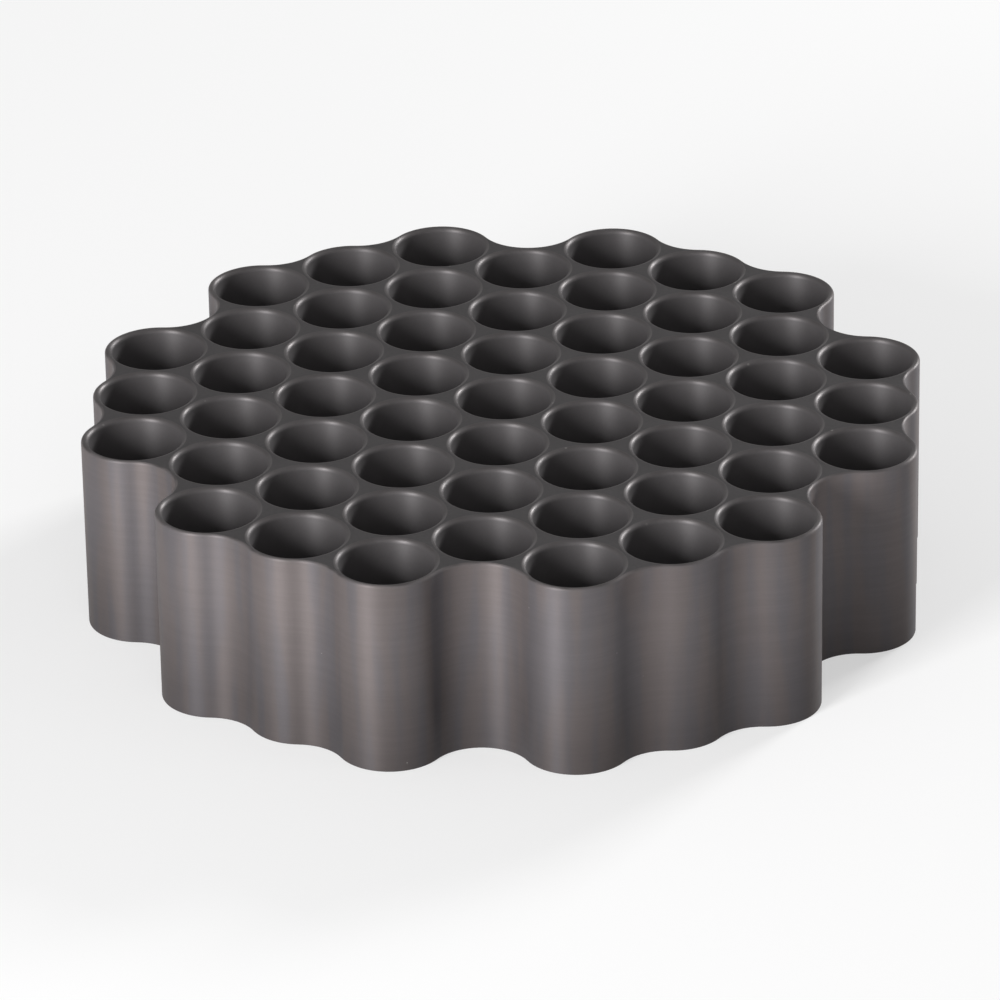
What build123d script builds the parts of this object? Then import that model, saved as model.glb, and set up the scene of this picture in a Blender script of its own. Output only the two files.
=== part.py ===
from build123d import *
import math
import os

# Heat block insert: one round aluminium block, bored with a honeycomb of blind wells for small
# glass vials. The side of the block follows its outer wells: scallops that wrap around them,
# joined by hollow pockets centred where the next wells of the honeycomb would be.
# The origin is the middle of the flat base, +Z points up out of the wells, and the columns of
# the honeycomb run along Y. All lengths are in millimetres.

# Driving dimensions
well_diameter = 12.5      # takes a vial 12 mm across with a sliding fit
web_wall = 1.5            # thinnest metal between two neighbouring wells
lip_wall = 1.0            # thinnest metal between an outer well and the side of the block
block_height = 27.0       # base to top face
floor_thickness = 3.0     # metal left under each well
heel_break = 0.3          # bevel that the cutter's corners leave around each well's floor
rim_break = 0.35          # bevel along the top edge of the side

# Honeycomb places are counted in columns, a, and in pitches along a column, b. The square of a
# place's distance from the middle, in pitches, is a whole number that is called its order here.
well_orders = (0, 1, 3, 4, 7, 9, 12, 13)      # the places that are bored: 55 wells
scallop_orders = (12, 13)                     # the outer wells that the side wraps around
pocket_orders = (16, 19)                      # the places just outside, where the side is hollow

# Sizes that follow from the driving dimensions
well_radius = well_diameter / 2
pitch = well_diameter + web_wall
column_step = pitch * math.cos(math.radians(30))
scallop_radius = well_radius + lip_wall
pocket_radius = pitch - scallop_radius
cutter_overrun = lip_wall                     # how far the cutter stands out of the top face
lattice_reach = math.isqrt(4 * max(pocket_orders) // 3)   # furthest column or pitch that is used


def order(a, b):
    """Squared distance of a honeycomb place from the middle, in pitches."""
    return a * a + a * b + b * b


def places(orders):
    """Middles of the honeycomb places of these orders, going around from +X towards +Y."""
    steps = range(-lattice_reach, lattice_reach + 1)
    found = [
        Vector(column_step * a, pitch * (b + a / 2))
        for a in steps
        for b in steps
        if order(a, b) in orders
    ]
    return sorted(found, key=lambda place: math.atan2(place.Y, place.X) % math.tau)


def meeting(scallop, pocket):
    """The point where a scallop runs into the pocket beside it, on the line of their middles."""
    return scallop + (pocket - scallop).normalized() * scallop_radius


def arc_about(centre, radius, start, end):
    """The shorter arc about a centre between two points on its circle."""
    halfway = ((start - centre) + (end - centre)).normalized()
    return ThreePointArc(start, centre + halfway * radius, end)


def plan():
    """The block seen from above: scallops and pockets in turn, each tangent to the next."""
    scallops = places(scallop_orders)
    pockets = places(pocket_orders)
    arcs = []
    for number, scallop in enumerate(scallops):
        pocket_before = pockets[number - 1]
        pocket_after = pockets[number]
        next_scallop = scallops[(number + 1) % len(scallops)]
        crest_start = meeting(scallop, pocket_before)
        crest_end = meeting(scallop, pocket_after)
        hollow_end = meeting(next_scallop, pocket_after)
        arcs.append(arc_about(scallop, scallop_radius, crest_start, crest_end))
        arcs.append(arc_about(pocket_after, pocket_radius, crest_end, hollow_end))
    return make_face(arcs)


def blank():
    """The block before it is bored, with the top edge of its side bevelled."""
    body = extrude(plan(), block_height)
    return chamfer(body.edges().group_by(Axis.Z)[-1], rim_break)


def well_cutter():
    """The space of one well, standing on its floor, with the cutter's bevelled corner."""
    cutter_top = block_height + cutter_overrun
    half_section = Polyline(
        (0, floor_thickness),
        (well_radius - heel_break, floor_thickness),
        (well_radius, floor_thickness + heel_break),
        (well_radius, cutter_top),
        (0, cutter_top),
        close=True,
    )
    return revolve(Plane.XZ * make_face(half_section), Axis.Z)


def vial_block():
    """The blank with every well of the honeycomb bored into it."""
    cutter = well_cutter()
    return blank() - [Pos(place) * cutter for place in places(well_orders)]


os.makedirs("parts", exist_ok=True)
export_step(vial_block(), "parts/vial_block.step")
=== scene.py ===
import math

import bpy
from mathutils import Matrix, Vector


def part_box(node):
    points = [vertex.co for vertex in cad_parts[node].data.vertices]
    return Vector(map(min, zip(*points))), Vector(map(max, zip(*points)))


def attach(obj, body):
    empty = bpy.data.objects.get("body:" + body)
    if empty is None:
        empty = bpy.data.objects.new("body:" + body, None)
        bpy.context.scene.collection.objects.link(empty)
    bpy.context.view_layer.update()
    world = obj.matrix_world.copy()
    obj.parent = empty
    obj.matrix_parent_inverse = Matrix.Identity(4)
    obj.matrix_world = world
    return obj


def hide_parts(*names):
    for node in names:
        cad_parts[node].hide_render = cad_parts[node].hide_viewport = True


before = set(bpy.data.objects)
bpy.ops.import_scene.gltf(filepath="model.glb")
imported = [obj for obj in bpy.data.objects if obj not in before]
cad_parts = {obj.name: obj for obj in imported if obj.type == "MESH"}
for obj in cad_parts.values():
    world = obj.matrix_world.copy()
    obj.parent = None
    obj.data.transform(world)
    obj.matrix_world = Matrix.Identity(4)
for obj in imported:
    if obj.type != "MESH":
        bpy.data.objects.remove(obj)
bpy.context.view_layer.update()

bl_info = {
    "name": "Heat Block Insert",
    "version": (1, 0, 0),
    "blender": (4, 5, 0),
    "location": "3D View > Sidebar > Heat Block",
    "description": "A round aluminium heat block with a honeycomb of wells, on a plain pale stage",
    "category": "Object",
}

MM = 0.001
BLOCK_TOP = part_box("vial_block")[1].z

# Honeycomb places are counted in columns, a, and in pitches along a column, b. The square of a
# place's distance from the middle, in pitches, is a whole number that is called its order here.
FURTHEST_WELL_ORDER = 13
SCALLOP_ORDERS = (12, 13)
POCKET_ORDERS = (16, 19)
LATTICE_REACH = math.isqrt(4 * max(POCKET_ORDERS) // 3)
COLUMN_STEP = math.cos(math.radians(30))

# The heel and base roundings are too small to need more facets than this.
SMALL_ROUNDING_FACETS = 2
# An open edge belongs to a flat when it is nearer to the flat's height than this.
EDGE_SEARCH = 0.5 * MM
# Points of neighbouring skins that are nearer than this become one.
MERGE_DISTANCE = 0.002 * MM

# Values of a noise between which a pattern goes from one end to the other, softly or more sharply.
NOISE_SPREAD = (0.3, 0.7)
NOISE_MIDDLE = (0.35, 0.65)

# Heights between which the painted shade on the side goes from darker at the foot to lighter at the top, as
# shares of the block's height.
PAINTED_SHADE_HEIGHTS = (-0.1, 0.85)
# Scale of the broad cutter's lines as a share of the fine ones', so they are wider.
BROAD_LINE_SCALE = 0.27

# How metallic the finishes are, how much smoother a rubbed edge is, and how deep the marks are.
SIDE_METALLIC = 0.42
ANODISED_METALLIC = 0.4
RUBBED_METALLIC = 0.8
RUBBED_SMOOTHING = -0.14
CUTTER_MARK_DEPTH = 0.0015 * MM
GRAIN_MARK_DEPTH = 0.002 * MM

# Stage, in metres
LAMP_DISTANCE = 0.9
FLOOR_HALF_WIDTH = 1.5
CAMERA_CLIP = (0.05, 10.0)


# ---------------------------------------------------------------------------------------------
# Sizes and colours that a user would change
# ---------------------------------------------------------------------------------------------

class BlockSizes(bpy.types.PropertyGroup):
    """Sizes of the block. What isn't here comes from the plain solid that it replaces."""
    well_diameter: bpy.props.FloatProperty(
        name="Well Diameter", description="Width of a well between its straight walls",
        default=12.5 * MM, min=1 * MM, unit="LENGTH")
    web_wall: bpy.props.FloatProperty(
        name="Web Wall", description="Thinnest metal between two neighbouring wells",
        default=1.5 * MM, min=0.1 * MM, unit="LENGTH")
    lip_wall: bpy.props.FloatProperty(
        name="Lip Wall", description="Thinnest metal between an outer well and the side",
        default=1.0 * MM, min=0.1 * MM, unit="LENGTH")
    floor_thickness: bpy.props.FloatProperty(
        name="Floor Thickness", description="Metal left under each well",
        default=3.0 * MM, min=0.1 * MM, unit="LENGTH")
    mouth_round: bpy.props.FloatProperty(
        name="Mouth Rounding", description="Radius of the rounding around each well's mouth",
        default=0.6 * MM, min=0.05 * MM, unit="LENGTH")
    rim_round: bpy.props.FloatProperty(
        name="Rim Rounding", description="Radius of the rounding along the top edge of the side",
        default=0.35 * MM, min=0.05 * MM, unit="LENGTH")
    heel_round: bpy.props.FloatProperty(
        name="Heel Rounding", description="Radius left by the cutter around each well's floor",
        default=0.3 * MM, min=0.05 * MM, unit="LENGTH")
    base_round: bpy.props.FloatProperty(
        name="Base Rounding", description="Radius of the broken edge around the base",
        default=0.15 * MM, min=0.02 * MM, unit="LENGTH")
    flat_margin: bpy.props.FloatProperty(
        name="Flat Margin",
        description="Narrow flat strip beside a rounding, which keeps the flats flat in shading",
        default=0.02 * MM, min=0.001 * MM, unit="LENGTH")
    facet_angle: bpy.props.FloatProperty(
        name="Facet Angle", description="Turn of each facet of the wells and the side",
        default=math.radians(5.625), min=math.radians(1), subtype="ANGLE")
    facets_in_rounding: bpy.props.IntProperty(
        name="Facets in Rounding", description="Facets across a mouth or rim rounding",
        default=5, min=1, max=12)


class BlockFinish(bpy.types.PropertyGroup):
    """Colours of the dark anodised metal, and of the upright streaks on the side, which are partly painted
    shade
    """
    side_colour: bpy.props.FloatVectorProperty(
        name="Side Colour", description="Anodised metal on the milled side",
        default=(0.116, 0.101, 0.100), size=3, min=0, max=1, subtype="COLOR")
    # Painted shade: the streak colour is cooler and darker than the side colour; the streaks are partly a
    # tint in the anodising and partly painted shade in the gaps within the side's highlight bands.
    streak_tint_and_shade_colour: bpy.props.FloatVectorProperty(
        name="Streak Tint And Shade", description="Cooler upright streaks in the side's anodising",
        default=(0.104, 0.096, 0.101), size=3, min=0, max=1, subtype="COLOR")
    land_colour: bpy.props.FloatVectorProperty(
        name="Land Colour", description="Anodised metal on the faced top",
        default=(0.058, 0.054, 0.055), size=3, min=0, max=1, subtype="COLOR")
    well_colour: bpy.props.FloatVectorProperty(
        name="Well Colour", description="Anodised metal in the bored wells",
        default=(0.088, 0.082, 0.084), size=3, min=0, max=1, subtype="COLOR")
    edge_colour: bpy.props.FloatVectorProperty(
        name="Edge Colour", description="Thinner anodising on the rounded edges",
        default=(0.125, 0.115, 0.115), size=3, min=0, max=1, subtype="COLOR")
    dust_colour: bpy.props.FloatVectorProperty(
        name="Dust Colour", description="Fine pale specks on the metal",
        default=(0.28, 0.27, 0.26), size=3, min=0, max=1, subtype="COLOR")


class StageLook(bpy.types.PropertyGroup):
    """The pale floor, the lamps and the camera"""
    floor_colour: bpy.props.FloatVectorProperty(
        name="Floor Colour", description="Plain floor under the block",
        default=(0.90, 0.90, 0.90), size=3, min=0, max=1, subtype="COLOR")
    floor_glow: bpy.props.FloatProperty(
        name="Floor Glow", description="Share of the floor's look that is plain white, with no shadow on it",
        default=0.5, min=0, max=1, subtype="FACTOR")
    room_light: bpy.props.FloatProperty(
        name="Room Light", description="Soft light from all around", default=0.32, min=0)
    focal_length: bpy.props.FloatProperty(
        name="Focal Length", description="Lens on a 36 mm sensor, in millimetres", default=253.2, min=1)
    camera_distance: bpy.props.FloatProperty(
        name="Camera Distance", description="From the camera to the point that it looks at",
        default=0.920, min=0.1, unit="LENGTH")
    camera_azimuth: bpy.props.FloatProperty(
        name="Camera Azimuth", description="Turn of the camera to the right of the block's front",
        default=math.radians(4.08), subtype="ANGLE")
    camera_elevation: bpy.props.FloatProperty(
        name="Camera Elevation", description="Height of the camera above the horizon",
        default=math.radians(26.40), subtype="ANGLE")
    camera_roll: bpy.props.FloatProperty(
        name="Camera Roll", description="Tilt of the camera about its line of sight",
        default=math.radians(-1.0), subtype="ANGLE")
    camera_target: bpy.props.FloatVectorProperty(
        name="Camera Target", description="Point that the camera looks at",
        default=(1.35 * MM, -30.95 * MM, 27.0 * MM), size=3, unit="LENGTH")


# ---------------------------------------------------------------------------------------------
# Node trees
# ---------------------------------------------------------------------------------------------

def put(tree, kind, links=None, **settings):
    """Adds a node. links gives its inputs by name or number: another node's output, or a plain value."""
    made = tree.nodes.new(kind)
    for name, value in settings.items():
        setattr(made, name, value)
    for key, value in (links or {}).items():
        feed(tree, made.inputs[key], value)
    return made


def feed(tree, socket, value):
    """Links an output to a socket, or sets the socket to a plain value."""
    if isinstance(value, bpy.types.NodeSocket):
        tree.links.new(value, socket)
    else:
        socket.default_value = value


def named_inputs(tree, sockets):
    """Gives a tree its inputs, as (name, socket type, default), and returns their outputs inside by name."""
    for name, kind, default in sockets:
        socket = tree.interface.new_socket(name, in_out="INPUT", socket_type=kind)
        if default is not None:
            socket.default_value = default
    inside = tree.nodes.new("NodeGroupInput")
    return {name: inside.outputs[name] for name, _, _ in sockets}


def named_outputs(tree, sockets):
    """Gives a tree its outputs, as (name, socket type, the output inside that feeds it)."""
    for name, kind, _ in sockets:
        tree.interface.new_socket(name, in_out="OUTPUT", socket_type=kind)
    inside = tree.nodes.new("NodeGroupOutput")
    for name, _, source in sockets:
        tree.links.new(source, inside.inputs[name])


def maths(tree, operation, *values):
    """The result of one math node."""
    return put(tree, "ShaderNodeMath", dict(enumerate(values)), operation=operation).outputs[0]


def vector_maths(tree, operation, *values, **named):
    """The result of one vector math node. A scale is given by name."""
    links = dict(enumerate(values)) | {key.capitalize(): value for key, value in named.items()}
    made = put(tree, "ShaderNodeVectorMath", links, operation=operation)
    return made.outputs["Value" if operation == "LENGTH" else "Vector"]


def vector_of(tree, x, y, z):
    """A vector from its three parts."""
    return put(tree, "ShaderNodeCombineXYZ", {0: x, 1: y, 2: z}).outputs[0]


def z_of(tree, position):
    """The height of a position above the base."""
    return put(tree, "ShaderNodeSeparateXYZ", {0: position}).outputs[2]


def per_metre(tree, length):
    """How many times a length fits into a metre: the scale that makes a pattern that size."""
    return maths(tree, "DIVIDE", 1.0, length)


def smooth_between(tree, value, low, high, at_low=0.0, at_high=1.0):
    """A smooth change from at_low to at_high as the value goes from low to high."""
    return put(tree, "ShaderNodeMapRange", {
        "Value": value, "From Min": low, "From Max": high, "To Min": at_low, "To Max": at_high,
    }, interpolation_type="SMOOTHSTEP").outputs["Result"]


def blend(tree, factor, first, second):
    """A mix of two colours."""
    made = put(tree, "ShaderNodeMix", data_type="RGBA")
    feed(tree, made.inputs["Factor"], factor)
    colours = [socket for socket in made.inputs if socket.type == "RGBA"]
    feed(tree, colours[0], first)
    feed(tree, colours[1], second)
    return next(socket for socket in made.outputs if socket.type == "RGBA")


# ---------------------------------------------------------------------------------------------
# Geometry Nodes: the bored block
# ---------------------------------------------------------------------------------------------

def choose_by_index(tree, kind, choices):
    """The first choice for point 0, the second for point 1, and so on."""
    switch = put(tree, "GeometryNodeIndexSwitch", data_type=kind)
    while len(switch.index_switch_items) < len(choices):
        switch.index_switch_items.new()
    index = put(tree, "GeometryNodeInputIndex").outputs[0]
    tree.links.new(index, switch.inputs["Index"])
    for number, choice in enumerate(choices):
        feed(tree, switch.inputs[number + 1], choice)
    return switch.outputs[0]


def rounded_profile(tree, corners):
    """A cross-section through corners given as (out, up, rounding radius, facets in the rounding)."""
    places = [vector_of(tree, out, maths(tree, "MULTIPLY", up, -1.0), 0.0) for out, up, _, _ in corners]
    points = put(tree, "GeometryNodePoints", {
        "Count": len(corners), "Position": choose_by_index(tree, "VECTOR", places),
    }).outputs[0]
    line = put(tree, "GeometryNodePointsToCurves", {0: points}).outputs[0]
    return put(tree, "GeometryNodeFilletCurve", {
        "Curve": line,
        "Count": choose_by_index(tree, "INT", [count for _, _, _, count in corners]),
        "Radius": choose_by_index(tree, "FLOAT", [radius for _, _, radius, _ in corners]),
    }, mode="POLY").outputs[0]


def sweep(tree, path, profile):
    """A skin that follows the path. A profile that goes up gives faces that look into the path's loop."""
    upright = put(tree, "GeometryNodeSetCurveNormal", {"Curve": path}, mode="Z_UP").outputs[0]
    return put(tree, "GeometryNodeCurveToMesh", {"Curve": upright, "Profile Curve": profile}).outputs[0]


def with_material(tree, mesh, material):
    """The mesh in one material."""
    return put(tree, "GeometryNodeSetMaterial", {"Geometry": mesh, "Material": material}).outputs[0]


def join(tree, *meshes):
    """Several meshes as one, in the order given."""
    made = put(tree, "GeometryNodeJoinGeometry")
    for mesh in reversed(meshes):
        tree.links.new(mesh, made.inputs[0])
    return made.outputs[0]


def lattice_points(tree, size):
    """One point for each well of the honeycomb."""
    across = 2 * LATTICE_REACH
    grid = put(tree, "GeometryNodeMeshGrid", {
        "Size X": across, "Size Y": across, "Vertices X": across + 1, "Vertices Y": across + 1,
    }).outputs["Mesh"]
    place = put(tree, "ShaderNodeSeparateXYZ", {0: put(tree, "GeometryNodeInputPosition").outputs[0]})
    a, b = place.outputs[0], place.outputs[1]
    squares = maths(tree, "ADD", maths(tree, "MULTIPLY", a, a), maths(tree, "MULTIPLY", b, b))
    order = maths(tree, "ADD", squares, maths(tree, "MULTIPLY", a, b))
    too_far = maths(tree, "GREATER_THAN", order, FURTHEST_WELL_ORDER + 0.5)
    kept = put(tree, "GeometryNodeDeleteGeometry", {
        "Geometry": grid, "Selection": too_far}, domain="POINT").outputs[0]
    x = maths(tree, "MULTIPLY", a, maths(tree, "MULTIPLY", size["Pitch"], COLUMN_STEP))
    y = maths(tree, "MULTIPLY", maths(tree, "ADD", b, maths(tree, "MULTIPLY", a, 0.5)), size["Pitch"])
    return put(tree, "GeometryNodeSetPosition", {
        "Geometry": kept, "Position": vector_of(tree, x, y, 0.0)}).outputs[0]


def one_well(tree, size):
    """The skin of one well, from the middle of its floor to the flat around its mouth."""
    margin, top, floor = size["Flat Margin"], size["Block Top"], size["Floor Thickness"]
    heel, mouth, radius = size["Heel Rounding"], size["Mouth Rounding"], size["Well Radius"]
    heel_and_margin = maths(tree, "ADD", heel, margin)
    mouth_and_margin = maths(tree, "ADD", mouth, margin)
    profile = rounded_profile(tree, [
        (maths(tree, "MULTIPLY", radius, -1.0), floor, 0.0, 1),
        (maths(tree, "MULTIPLY", heel_and_margin, -1.0), floor, 0.0, 1),
        (0.0, floor, heel, SMALL_ROUNDING_FACETS),
        (0.0, maths(tree, "ADD", floor, heel_and_margin), 0.0, 1),
        (0.0, maths(tree, "SUBTRACT", top, mouth_and_margin), 0.0, 1),
        (0.0, top, mouth, size["Facets in Rounding"]),
        (mouth_and_margin, top, 0.0, 1),
    ])
    circle = put(tree, "GeometryNodeCurvePrimitiveCircle", {
        "Resolution": size["Facets Around"], "Radius": radius}).outputs["Curve"]
    return sweep(tree, circle, profile)


def side_skin(tree, outline, size):
    """The skin of the scalloped side, from the flat at the edge of the base to the flat inside the rim."""
    margin, top = size["Flat Margin"], size["Block Top"]
    rim, base = size["Rim Rounding"], size["Base Rounding"]
    rim_and_margin = maths(tree, "ADD", rim, margin)
    base_and_margin = maths(tree, "ADD", base, margin)
    profile = rounded_profile(tree, [
        (maths(tree, "MULTIPLY", base_and_margin, -1.0), 0.0, 0.0, 1),
        (0.0, 0.0, base, SMALL_ROUNDING_FACETS),
        (0.0, base_and_margin, 0.0, 1),
        (0.0, maths(tree, "SUBTRACT", top, rim_and_margin), 0.0, 1),
        (0.0, top, rim, size["Facets in Rounding"]),
        (maths(tree, "MULTIPLY", rim_and_margin, -1.0), top, 0.0, 1),
    ])
    path = put(tree, "GeometryNodeMeshToCurve", {"Mesh": outline}).outputs[0]
    return put(tree, "GeometryNodeFlipFaces", {"Mesh": sweep(tree, path, profile)}).outputs[0]


def flat_between_edges(tree, skins, height, is_high):
    """The flat that closes the skins' open edges above or below the middle of the block."""
    faces = put(tree, "GeometryNodeInputMeshEdgeNeighbors").outputs[0]
    open_edge = put(tree, "FunctionNodeCompare", {"A": faces, "B": 1},
                    data_type="INT", operation="EQUAL").outputs[0]
    z = z_of(tree, put(tree, "GeometryNodeInputPosition").outputs[0])
    distance = maths(tree, "ABSOLUTE", maths(tree, "SUBTRACT", z, height))
    at_height = maths(tree, "LESS_THAN", distance, EDGE_SEARCH)
    chosen = put(tree, "FunctionNodeBooleanMath", {0: open_edge, 1: at_height}, operation="AND").outputs[0]
    loops = put(tree, "GeometryNodeMeshToCurve", {"Mesh": skins, "Selection": chosen}).outputs[0]
    flat = put(tree, "GeometryNodeFillCurve", {"Curve": loops}, mode="TRIANGLES").outputs[0]
    lifted = put(tree, "GeometryNodeTransform", {
        "Geometry": flat, "Translation": vector_of(tree, 0.0, 0.0, height)}).outputs[0]
    return lifted if is_high else put(tree, "GeometryNodeFlipFaces", {"Mesh": lifted}).outputs[0]


def bored_block_tree():
    """Turns the outline of the side into the whole bored block."""
    tree = bpy.data.node_groups.new("bored_block", "GeometryNodeTree")
    size = named_inputs(tree, [
        ("Outline", "NodeSocketGeometry", None),
        ("Block Top", "NodeSocketFloat", 0.0),
        ("Pitch", "NodeSocketFloat", 0.0),
        ("Well Radius", "NodeSocketFloat", 0.0),
        ("Floor Thickness", "NodeSocketFloat", 0.0),
        ("Mouth Rounding", "NodeSocketFloat", 0.0),
        ("Rim Rounding", "NodeSocketFloat", 0.0),
        ("Heel Rounding", "NodeSocketFloat", 0.0),
        ("Base Rounding", "NodeSocketFloat", 0.0),
        ("Flat Margin", "NodeSocketFloat", 0.0),
        ("Facets Around", "NodeSocketInt", 64),
        ("Facets in Rounding", "NodeSocketInt", 5),
        ("Side Metal", "NodeSocketMaterial", None),
        ("Well Metal", "NodeSocketMaterial", None),
        ("Land Metal", "NodeSocketMaterial", None),
    ])
    centres = put(tree, "GeometryNodeStoreNamedAttribute", {
        "Geometry": lattice_points(tree, size),
        "Name": "well_centre",
        "Value": put(tree, "GeometryNodeInputPosition").outputs[0],
    }, data_type="FLOAT_VECTOR", domain="POINT").outputs[0]
    wells = put(tree, "GeometryNodeInstanceOnPoints", {
        "Points": put(tree, "GeometryNodeMeshToPoints", {"Mesh": centres}).outputs[0],
        "Instance": with_material(tree, one_well(tree, size), size["Well Metal"]),
    }).outputs[0]
    wells = put(tree, "GeometryNodeRealizeInstances", {0: wells}).outputs[0]
    side = with_material(tree, side_skin(tree, size["Outline"], size), size["Side Metal"])
    skins = join(tree, wells, side)
    land = flat_between_edges(tree, skins, size["Block Top"], is_high=True)
    land = with_material(tree, land, size["Land Metal"])
    base = flat_between_edges(tree, side, 0.0, is_high=False)
    base = with_material(tree, base, size["Land Metal"])
    whole = put(tree, "GeometryNodeMergeByDistance", {
        "Geometry": join(tree, skins, land, base), "Distance": MERGE_DISTANCE}).outputs[0]
    smooth = put(tree, "GeometryNodeSetShadeSmooth", {"Geometry": whole, "Shade Smooth": True}).outputs[0]
    named_outputs(tree, [("Block", "NodeSocketGeometry", smooth)])
    return tree


def add_tree(piece, tree, values):
    """Adds a Geometry Nodes modifier and sets its inputs by name, through the sockets' identifiers."""
    modifier = piece.modifiers.new(tree.name, "NODES")
    modifier.node_group = tree
    identifiers = {item.name: item.identifier for item in tree.interface.items_tree if item.in_out == "INPUT"}
    for name, value in values.items():
        modifier[identifiers[name]] = value


def settle(context, piece):
    """Turns what a piece's modifiers make into its plain mesh, and removes them."""
    depsgraph = context.evaluated_depsgraph_get()
    made = bpy.data.meshes.new_from_object(
        piece.evaluated_get(depsgraph), preserve_all_data_layers=True, depsgraph=depsgraph)
    made.name = piece.name
    piece.modifiers.clear()
    old, piece.data = piece.data, made
    bpy.data.meshes.remove(old)


# ---------------------------------------------------------------------------------------------
# The outline of the side
# ---------------------------------------------------------------------------------------------

def honeycomb_places(orders, pitch):
    """Middles of the honeycomb places of these orders, going around from +X towards +Y."""
    column_step = pitch * COLUMN_STEP
    steps = range(-LATTICE_REACH, LATTICE_REACH + 1)
    found = [
        Vector((column_step * a, pitch * (b + a / 2)))
        for a in steps for b in steps if a * a + a * b + b * b in orders
    ]
    return sorted(found, key=lambda place: math.atan2(place.y, place.x) % math.tau)


def arc_points(centre, radius, start, end, facet_angle):
    """Points along the shorter arc about a centre, from its start up to but without its end."""
    from_angle = math.atan2(start.y - centre.y, start.x - centre.x)
    to_angle = math.atan2(end.y - centre.y, end.x - centre.x)
    sweep_angle = math.remainder(to_angle - from_angle, math.tau)
    count = math.ceil(abs(sweep_angle) / facet_angle)
    for number in range(count):
        angle = from_angle + sweep_angle * number / count
        yield centre + radius * Vector((math.cos(angle), math.sin(angle)))


def outline_points(sizes):
    """The block's outline from above: scallops around the outer wells, joined by hollow pockets."""
    pitch = sizes.well_diameter + sizes.web_wall
    scallop_radius = sizes.well_diameter / 2 + sizes.lip_wall
    pocket_radius = pitch - scallop_radius
    scallops = honeycomb_places(SCALLOP_ORDERS, pitch)
    pockets = honeycomb_places(POCKET_ORDERS, pitch)
    points = []
    for number, scallop in enumerate(scallops):
        pocket_before, pocket_after = pockets[number - 1], pockets[number]
        next_scallop = scallops[(number + 1) % len(scallops)]
        crest_start = scallop + (pocket_before - scallop).normalized() * scallop_radius
        crest_end = scallop + (pocket_after - scallop).normalized() * scallop_radius
        hollow_end = next_scallop + (pocket_after - next_scallop).normalized() * scallop_radius
        points += arc_points(scallop, scallop_radius, crest_start, crest_end, sizes.facet_angle)
        points += arc_points(pocket_after, pocket_radius, crest_end, hollow_end, sizes.facet_angle)
    return points


# ---------------------------------------------------------------------------------------------
# Shader node groups
# ---------------------------------------------------------------------------------------------

def shader_group(name, inputs):
    """An empty shader node group with named inputs."""
    tree = bpy.data.node_groups.new(name, "ShaderNodeTree")
    return tree, named_inputs(tree, inputs)


def noise(tree, position, scale, detail, roughness=0.5):
    """Smooth noise from 0 to 1."""
    return put(tree, "ShaderNodeTexNoise", {
        "Vector": position, "Scale": scale, "Detail": detail, "Roughness": roughness}).outputs[0]


def anodise_tone_and_streak_shade_group():
    """Upright streaks of a second colour, with clouds and fine grain in the tone of the anodising. On the
    side the streaks are partly a tint in the anodising and partly painted shade in the gaps within the
    highlight bands.
    """
    tree, given = shader_group("anodise_tone_and_streak_shade", [
        ("Position", "NodeSocketVector", None),
        ("Colour", "NodeSocketColor", (0.06, 0.06, 0.06, 1.0)),
        ("Streak Tint And Shade", "NodeSocketColor", (0.06, 0.06, 0.06, 1.0)),
        ("Streak Width", "NodeSocketFloat", 0.002),
        ("Streak Height", "NodeSocketFloat", 0.012),
        ("Cloud Size", "NodeSocketFloat", 0.012),
        ("Cloud Depth", "NodeSocketFloat", 0.15),
        ("Grain Size", "NodeSocketFloat", 0.0004),
        ("Grain Depth", "NodeSocketFloat", 0.15),
    ])
    clouds = noise(tree, given["Position"], per_metre(tree, given["Cloud Size"]), 3.0)
    grain = noise(tree, given["Position"], per_metre(tree, given["Grain Size"]), 2.0)
    cloud_change = maths(tree, "MULTIPLY", maths(tree, "SUBTRACT", clouds, 0.5), given["Cloud Depth"])
    grain_change = maths(tree, "MULTIPLY", maths(tree, "SUBTRACT", grain, 0.5), given["Grain Depth"])
    change = maths(tree, "MULTIPLY_ADD", maths(tree, "ADD", cloud_change, grain_change), 2.0, 1.0)
    # Painted shade: upright streaks of the second colour, partly a tint in the anodising and partly shade in
    # the gaps within highlight bands.
    across, upright = (per_metre(tree, given[name]) for name in ("Streak Width", "Streak Height"))
    stretched = vector_maths(tree, "MULTIPLY", given["Position"], vector_of(tree, across, across, upright))
    streaks = noise(tree, stretched, 1.0, 1.0)
    streaked = blend(tree, smooth_between(tree, streaks, *NOISE_MIDDLE), given["Colour"], given["Streak Tint And Shade"])
    toned = vector_maths(tree, "SCALE", streaked, scale=change)
    named_outputs(tree, [
        ("Colour", "NodeSocketColor", toned),
        ("Clouds", "NodeSocketFloat", clouds),
        ("Grain", "NodeSocketFloat", grain),
    ])
    return tree


def painted_height_shade_group():
    """Painted shade on an upright wall: the colour is darker at the foot and lighter towards the top,
    standing in for light that is weaker near the foot.
    """
    tree, given = shader_group("painted_height_shade", [
        ("Position", "NodeSocketVector", None),
        ("Colour", "NodeSocketColor", (0.06, 0.06, 0.06, 1.0)),
        ("Top", "NodeSocketFloat", 0.027),
        ("At Foot", "NodeSocketFloat", 0.7),
        ("At Top", "NodeSocketFloat", 1.2),
    ])
    height = maths(tree, "DIVIDE", z_of(tree, given["Position"]), given["Top"])
    change = smooth_between(tree, height, *PAINTED_SHADE_HEIGHTS, given["At Foot"], given["At Top"])
    named_outputs(tree, [
        ("Colour", "NodeSocketColor", vector_maths(tree, "SCALE", given["Colour"], scale=change)),
    ])
    return tree


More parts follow.
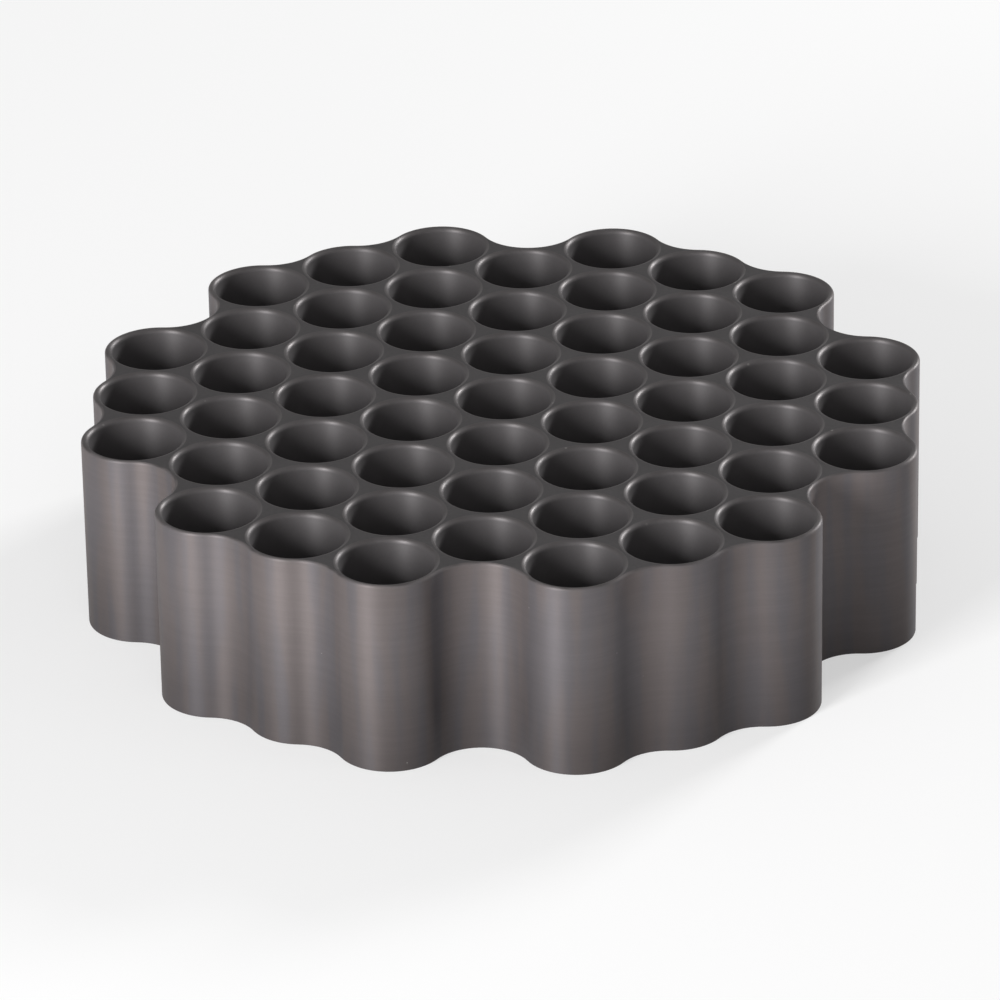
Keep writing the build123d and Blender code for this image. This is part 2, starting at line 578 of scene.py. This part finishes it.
def cutter_lines_group():
    """Fine lines that a cutter leaves around an upright wall, broken up along their length."""
    tree, given = shader_group("cutter_lines", [
        ("Position", "NodeSocketVector", None),
        ("Spacing", "NodeSocketFloat", 0.0003),
        ("Run", "NodeSocketFloat", 0.010),
    ])
    along, across = per_metre(tree, given["Run"]), per_metre(tree, given["Spacing"])
    stretched = vector_maths(tree, "MULTIPLY", given["Position"], vector_of(tree, along, along, across))
    fine = noise(tree, stretched, 1.0, 2.0, 0.6)
    broad = noise(tree, stretched, BROAD_LINE_SCALE, 1.0)
    lines = maths(tree, "MULTIPLY_ADD", broad, 0.5, maths(tree, "MULTIPLY", fine, 0.5))
    named_outputs(tree, [("Lines", "NodeSocketFloat", lines)])
    return tree


def turning_rings_group():
    """Rings that an end cutter leaves on a floor, around its middle."""
    tree, given = shader_group("turning_rings", [
        ("Position", "NodeSocketVector", None),
        ("Centre", "NodeSocketVector", None),
        ("Spacing", "NodeSocketFloat", 0.0004),
    ])
    offset = vector_maths(tree, "SUBTRACT", given["Position"], given["Centre"])
    flat_offset = vector_maths(tree, "MULTIPLY", offset, (1.0, 1.0, 0.0))
    distance = vector_maths(tree, "LENGTH", flat_offset)
    turns = maths(tree, "DIVIDE", distance, given["Spacing"])
    rings = put(tree, "ShaderNodeTexNoise", {"W": turns, "Scale": 1.0, "Detail": 2.0},
                noise_dimensions="1D").outputs[0]
    named_outputs(tree, [("Rings", "NodeSocketFloat", rings)])
    return tree


def worn_edge_group():
    """Where the rounding at the top of the block has been rubbed: a mask that follows the height."""
    tree, given = shader_group("worn_edge", [
        ("Position", "NodeSocketVector", None),
        ("Top", "NodeSocketFloat", 0.027),
        ("Width", "NodeSocketFloat", 0.0004),
        ("Break Size", "NodeSocketFloat", 0.002),
    ])
    depth = maths(tree, "SUBTRACT", given["Top"], z_of(tree, given["Position"]))
    near_top = smooth_between(tree, depth, 0.0, given["Width"], 1.0, 0.0)
    patches = noise(tree, given["Position"], per_metre(tree, given["Break Size"]), 2.0)
    rubbed = smooth_between(tree, patches, *NOISE_SPREAD, at_low=0.4, at_high=1.0)
    named_outputs(tree, [("Mask", "NodeSocketFloat", maths(tree, "MULTIPLY", near_top, rubbed))])
    return tree


def dust_specks_group():
    """Small pale specks scattered over the metal."""
    tree, given = shader_group("dust_specks", [
        ("Position", "NodeSocketVector", None),
        ("Spacing", "NodeSocketFloat", 0.0015),
        ("Size", "NodeSocketFloat", 0.08),
        ("Share", "NodeSocketFloat", 0.25),
    ])
    cells = put(tree, "ShaderNodeTexVoronoi", {
        "Vector": given["Position"], "Scale": per_metre(tree, given["Spacing"]), "Randomness": 1.0})
    speck = smooth_between(tree, cells.outputs["Distance"], maths(tree, "MULTIPLY", given["Size"], 0.5),
                           given["Size"], 1.0, 0.0)
    chance = put(tree, "ShaderNodeSeparateXYZ", {0: cells.outputs["Color"]}).outputs[0]
    picked = maths(tree, "LESS_THAN", chance, given["Share"])
    named_outputs(tree, [("Mask", "NodeSocketFloat", maths(tree, "MULTIPLY", speck, picked))])
    return tree


def shared_groups():
    """Every shared shader group by name, each built once."""
    makers = (anodise_tone_and_streak_shade_group, painted_height_shade_group, cutter_lines_group,
              turning_rings_group, worn_edge_group, dust_specks_group)
    return {group.name: group for group in (make() for make in makers)}


def use_group(tree, group, links):
    """One use of a shared group."""
    made = put(tree, "ShaderNodeGroup", node_tree=group)
    for key, value in links.items():
        feed(tree, made.inputs[key], value)
    return made


# ---------------------------------------------------------------------------------------------
# Materials
# ---------------------------------------------------------------------------------------------

def opaque(colour):
    """A property's colour with full alpha, for a socket."""
    return (*colour, 1.0)


def metal(name, anisotropic, specular, build):
    """A metal material. build wires what changes over it and says how deep its marks are."""
    material = bpy.data.materials.new(name)
    material.use_nodes = True
    tree = material.node_tree
    tree.nodes.clear()
    shader = put(tree, "ShaderNodeBsdfPrincipled", {
        "Anisotropic": anisotropic, "Specular IOR Level": specular})
    colour, metallic, rough, marks, depth = build(tree, put(tree, "ShaderNodeTexCoord").outputs["Object"])
    feed(tree, shader.inputs["Base Color"], colour)
    feed(tree, shader.inputs["Metallic"], metallic)
    feed(tree, shader.inputs["Roughness"], rough)
    bump = put(tree, "ShaderNodeBump", {"Height": marks, "Distance": depth, "Strength": 1.0})
    tree.links.new(bump.outputs[0], shader.inputs["Normal"])
    output = put(tree, "ShaderNodeOutputMaterial")
    tree.links.new(shader.outputs[0], output.inputs["Surface"])
    return material, shader, tree


def satin(tree, clouds, rubbed, low, high):
    """Roughness that drifts between low and high with the clouds, and drops where an edge is rubbed."""
    drifting = smooth_between(tree, clouds, *NOISE_SPREAD, low, high)
    return maths(tree, "MULTIPLY_ADD", rubbed, RUBBED_SMOOTHING, drifting)


def side_metal(groups, finish):
    """Milled and anodised side, with the cutter's lines around it, partly painted streaks, and painted shade
    that darkens it towards the foot and lightens it towards the top.
    """
    def build(tree, position):
        # The side's streaks are partly painted shade in the gaps within the highlight bands and partly a tint
        # in the anodising.
        tone = use_group(tree, groups["anodise_tone_and_streak_shade"], {
            "Position": position,
            "Colour": opaque(finish.side_colour), "Streak Tint And Shade": opaque(finish.streak_tint_and_shade_colour),
            "Streak Width": 2.2 * MM, "Streak Height": 22 * MM, "Cloud Size": 9 * MM, "Cloud Depth": 0.08,
            "Grain Size": 0.35 * MM, "Grain Depth": 0.03})
        # Painted shade: the side's colour is darkened at the foot and lightened towards the top, in place of
        # light that falls off down the wall.
        height_shaded = use_group(tree, groups["painted_height_shade"], {
            "Position": position, "Colour": tone.outputs["Colour"],
            "Top": BLOCK_TOP, "At Foot": 0.66, "At Top": 1.10})
        lines = use_group(tree, groups["cutter_lines"], {
            "Position": position, "Spacing": 0.22 * MM, "Run": 7 * MM})
        edge = use_group(tree, groups["worn_edge"], {
            "Position": position, "Top": BLOCK_TOP, "Width": 0.4 * MM, "Break Size": 3 * MM})
        specks = use_group(tree, groups["dust_specks"], {
            "Position": position, "Spacing": 1.6 * MM, "Size": 0.06, "Share": 0.05})
        shimmer = smooth_between(tree, lines.outputs["Lines"], *NOISE_MIDDLE, at_low=0.97, at_high=1.03)
        lined = vector_maths(tree, "SCALE", height_shaded.outputs["Colour"], scale=shimmer)
        worn = blend(tree, edge.outputs["Mask"], lined, opaque(finish.edge_colour))
        dusted = blend(tree, specks.outputs["Mask"], worn, opaque(finish.dust_colour))
        rubbed = maths(tree, "MULTIPLY", edge.outputs["Mask"], RUBBED_METALLIC)
        metallic = maths(tree, "MAXIMUM", rubbed, SIDE_METALLIC)
        rough = satin(tree, tone.outputs["Clouds"], edge.outputs["Mask"], 0.58, 0.62)
        return dusted, metallic, rough, lines.outputs["Lines"], CUTTER_MARK_DEPTH
    material, shader, tree = metal("side_metal", 0.7, 0.15, build)
    tree.links.new(vector_of(tree, 0.0, 0.0, 1.0), shader.inputs["Tangent"])
    return material


def well_metal(groups, finish):
    """Bored and anodised wells, with lines around their walls and rings on their floors."""
    def build(tree, position):
        tone = use_group(tree, groups["anodise_tone_and_streak_shade"], {
            "Position": position,
            "Colour": opaque(finish.well_colour), "Streak Tint And Shade": opaque(finish.well_colour),
            "Cloud Size": 6 * MM, "Cloud Depth": 0.12, "Grain Size": 0.3 * MM, "Grain Depth": 0.06})
        lines = use_group(tree, groups["cutter_lines"], {
            "Position": position, "Spacing": 0.3 * MM, "Run": 12 * MM})
        centre = put(tree, "ShaderNodeAttribute", attribute_name="well_centre").outputs["Vector"]
        rings = use_group(tree, groups["turning_rings"], {
            "Position": position, "Centre": centre, "Spacing": 0.35 * MM})
        edge = use_group(tree, groups["worn_edge"], {
            "Position": position, "Top": BLOCK_TOP, "Width": 0.6 * MM, "Break Size": 3 * MM})
        nicks = use_group(tree, groups["dust_specks"], {
            "Position": position, "Spacing": 1.3 * MM, "Size": 0.2, "Share": 0.05})
        worn = blend(tree, edge.outputs["Mask"], tone.outputs["Colour"], opaque(finish.edge_colour))
        mouth_nicks = maths(tree, "MULTIPLY", nicks.outputs["Mask"], edge.outputs["Mask"])
        nicked = blend(tree, mouth_nicks, worn, opaque(finish.dust_colour))
        metallic = maths(tree, "MULTIPLY_ADD", edge.outputs["Mask"],
                         RUBBED_METALLIC - ANODISED_METALLIC, ANODISED_METALLIC)
        rough = satin(tree, tone.outputs["Clouds"], edge.outputs["Mask"], 0.54, 0.58)
        marks = maths(tree, "ADD", lines.outputs["Lines"], rings.outputs["Rings"])
        return nicked, metallic, rough, marks, CUTTER_MARK_DEPTH
    material, shader, tree = metal("well_metal", 0.6, 0.4, build)
    position = put(tree, "ShaderNodeTexCoord").outputs["Object"]
    centre = put(tree, "ShaderNodeAttribute", attribute_name="well_centre").outputs["Vector"]
    offset = vector_maths(tree, "SUBTRACT", position, centre)
    outward = vector_maths(tree, "MULTIPLY", offset, (1.0, 1.0, 0.0))
    across_lines = vector_maths(tree, "ADD", vector_maths(tree, "NORMALIZE", outward), (0.0, 0.0, 1.0))
    tree.links.new(across_lines, shader.inputs["Tangent"])
    return material


def land_metal(groups, finish):
    """Faced and anodised flats: the top land and the base."""
    def build(tree, position):
        tone = use_group(tree, groups["anodise_tone_and_streak_shade"], {
            "Position": position,
            "Colour": opaque(finish.land_colour), "Streak Tint And Shade": opaque(finish.land_colour),
            "Cloud Size": 7 * MM, "Cloud Depth": 0.20, "Grain Size": 0.5 * MM, "Grain Depth": 0.20})
        specks = use_group(tree, groups["dust_specks"], {
            "Position": position, "Spacing": 1.5 * MM, "Size": 0.07, "Share": 0.08})
        dusted = blend(tree, specks.outputs["Mask"], tone.outputs["Colour"], opaque(finish.dust_colour))
        rough = smooth_between(tree, tone.outputs["Clouds"], *NOISE_SPREAD, at_low=0.46, at_high=0.52)
        return dusted, ANODISED_METALLIC, rough, tone.outputs["Grain"], GRAIN_MARK_DEPTH
    return metal("land_metal", 0.0, 0.4, build)[0]


# ---------------------------------------------------------------------------------------------
# Operators
# ---------------------------------------------------------------------------------------------

class HEATBLOCK_OT_make_block(bpy.types.Operator):
    """Make the bored and scalloped block in place of its plain solid"""
    bl_idname = "heat_block.make_block"
    bl_label = "Make Block"
    bl_options = {"REGISTER", "UNDO"}

    def execute(self, context):
        sizes = context.scene.heat_block_sizes
        finish = context.scene.heat_block_finish
        groups = shared_groups()

        points = outline_points(sizes)
        corners = [(*point, 0.0) for point in points]
        edges = [(number, (number + 1) % len(points)) for number in range(len(points))]
        outline = bpy.data.meshes.new("outline")
        outline.from_pydata(corners, edges, [])
        block = bpy.data.objects.new("heat_block", outline)
        context.scene.collection.objects.link(block)

        add_tree(block, bored_block_tree(), {
            "Block Top": BLOCK_TOP,
            "Pitch": sizes.well_diameter + sizes.web_wall,
            "Well Radius": sizes.well_diameter / 2,
            "Floor Thickness": sizes.floor_thickness,
            "Mouth Rounding": sizes.mouth_round,
            "Rim Rounding": sizes.rim_round,
            "Heel Rounding": sizes.heel_round,
            "Base Rounding": sizes.base_round,
            "Flat Margin": sizes.flat_margin,
            "Facets Around": round(math.tau / sizes.facet_angle),
            "Facets in Rounding": sizes.facets_in_rounding,
            "Side Metal": side_metal(groups, finish),
            "Well Metal": well_metal(groups, finish),
            "Land Metal": land_metal(groups, finish),
        })
        settle(context, block)
        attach(block, "root")
        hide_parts("vial_block")
        return {"FINISHED"}


def direction(azimuth, elevation):
    """The way from the block towards something at this azimuth, right of the front, and elevation."""
    flat = math.cos(elevation)
    return Vector((math.sin(azimuth) * flat, -math.cos(azimuth) * flat, math.sin(elevation)))


def add_lamp(context, name, azimuth, elevation, width, height, power):
    """A soft rectangular lamp that faces the middle of the block, placed by its angles in degrees."""
    light = bpy.data.lights.new(name, "AREA")
    light.shape = "RECTANGLE"
    light.size, light.size_y = width, height
    light.energy = power
    lamp = bpy.data.objects.new(name, light)
    way = direction(math.radians(azimuth), math.radians(elevation))
    lamp.location = way * LAMP_DISTANCE
    lamp.rotation_euler = way.to_track_quat("Z", "Y").to_euler()
    context.scene.collection.objects.link(lamp)


def seen_or_mirrored(tree):
    """1 for a surface seen directly, mirrored or through glass, and 0 where it only gives light."""
    path = put(tree, "ShaderNodeLightPath")
    seen = maths(tree, "MAXIMUM", path.outputs["Is Camera Ray"], path.outputs["Is Glossy Ray"])
    return maths(tree, "MAXIMUM", seen, path.outputs["Is Transmission Ray"])


class HEATBLOCK_OT_set_stage(bpy.types.Operator):
    """Set the pale floor, the soft surroundings, the lamps and the camera"""
    bl_idname = "heat_block.set_stage"
    bl_label = "Set Stage"
    bl_options = {"REGISTER", "UNDO"}

    def execute(self, context):
        look = context.scene.heat_block_stage
        self.make_floor(context, look)
        self.make_surroundings(context, look)
        add_lamp(context, "front_lamp", azimuth=-34.5, elevation=17.0, width=0.24, height=0.36, power=10.4)
        add_lamp(context, "side_lamp", azimuth=12.0, elevation=24.0, width=0.30, height=0.30, power=0.7)
        add_lamp(context, "fill_lamp", azimuth=75.0, elevation=40.0, width=0.30, height=0.30, power=0.25)
        add_lamp(context, "back_lamp", azimuth=140.0, elevation=26.0, width=0.20, height=0.20, power=5.0)
        self.make_camera(context, look)
        context.scene.view_settings.view_transform = "Standard"
        return {"FINISHED"}

    def make_floor(self, context, look):
        half = FLOOR_HALF_WIDTH
        corners = [(-half, -half, 0), (half, -half, 0), (half, half, 0), (-half, half, 0)]
        mesh = bpy.data.meshes.new("floor")
        mesh.from_pydata(corners, [], [(0, 1, 2, 3)])
        floor = bpy.data.objects.new("floor", mesh)
        context.scene.collection.objects.link(floor)
        material = bpy.data.materials.new("floor_paint")
        material.use_nodes = True
        tree = material.node_tree
        tree.nodes.clear()
        paint = put(tree, "ShaderNodeBsdfPrincipled", {
            "Base Color": opaque(look.floor_colour), "Roughness": 0.8, "Specular IOR Level": 0.0})
        glow = put(tree, "ShaderNodeEmission", {"Color": (1.0, 1.0, 1.0, 1.0), "Strength": 1.0})
        share = maths(tree, "MULTIPLY", seen_or_mirrored(tree), look.floor_glow)
        mixed = put(tree, "ShaderNodeMixShader", {0: share, 1: paint.outputs[0], 2: glow.outputs[0]})
        output = put(tree, "ShaderNodeOutputMaterial")
        tree.links.new(mixed.outputs[0], output.inputs["Surface"])
        mesh.materials.append(material)

    def make_surroundings(self, context, look):
        world = bpy.data.worlds.new("surroundings")
        world.use_nodes = True
        tree = world.node_tree
        tree.nodes.clear()
        sky = put(tree, "ShaderNodeBackground", {
            "Color": (1.0, 1.0, 1.0, 1.0), "Strength": look.room_light})
        output = put(tree, "ShaderNodeOutputWorld")
        tree.links.new(sky.outputs[0], output.inputs["Surface"])
        context.scene.world = world

    def make_camera(self, context, look):
        back = direction(look.camera_azimuth, look.camera_elevation)
        right = (-back).cross(Vector((0, 0, 1))).normalized()
        up = right.cross(-back)
        cosine, sine = math.cos(look.camera_roll), math.sin(look.camera_roll)
        rolled_right, rolled_up = cosine * right + sine * up, cosine * up - sine * right
        lens = bpy.data.cameras.new("camera")
        lens.lens = look.focal_length
        lens.clip_start, lens.clip_end = CAMERA_CLIP
        camera = bpy.data.objects.new("camera", lens)
        turn = Matrix((rolled_right, rolled_up, back)).transposed().to_4x4()
        place = Vector(look.camera_target) + back * look.camera_distance
        camera.matrix_world = Matrix.Translation(place) @ turn
        context.scene.collection.objects.link(camera)
        context.scene.camera = camera


# ---------------------------------------------------------------------------------------------
# Panel and registration
# ---------------------------------------------------------------------------------------------

class HEATBLOCK_PT_tools(bpy.types.Panel):
    """Sizes, finish and stage of the heat block"""
    bl_label = "Heat Block"
    bl_idname = "HEATBLOCK_PT_tools"
    bl_space_type = "VIEW_3D"
    bl_region_type = "UI"
    bl_category = "Heat Block"

    def draw(self, context):
        for title, group, operator in (
            ("Block", context.scene.heat_block_sizes, HEATBLOCK_OT_make_block),
            ("Finish", context.scene.heat_block_finish, None),
            ("Stage", context.scene.heat_block_stage, HEATBLOCK_OT_set_stage),
        ):
            box = self.layout.box()
            box.label(text=title)
            for name in group.bl_rna.properties.keys():
                if name not in {"rna_type", "name"}:
                    box.prop(group, name)
            if operator:
                box.operator(operator.bl_idname)


CLASSES = (
    BlockSizes, BlockFinish, StageLook,
    HEATBLOCK_OT_make_block, HEATBLOCK_OT_set_stage, HEATBLOCK_PT_tools,
)


def register():
    for each in CLASSES:
        bpy.utils.register_class(each)
    bpy.types.Scene.heat_block_sizes = bpy.props.PointerProperty(type=BlockSizes)
    bpy.types.Scene.heat_block_finish = bpy.props.PointerProperty(type=BlockFinish)
    bpy.types.Scene.heat_block_stage = bpy.props.PointerProperty(type=StageLook)


def unregister():
    del bpy.types.Scene.heat_block_stage
    del bpy.types.Scene.heat_block_finish
    del bpy.types.Scene.heat_block_sizes
    for each in reversed(CLASSES):
        bpy.utils.unregister_class(each)


def main():
    register()
    bpy.ops.heat_block.make_block()
    bpy.ops.heat_block.set_stage()


if __name__ == "__main__":
    main()
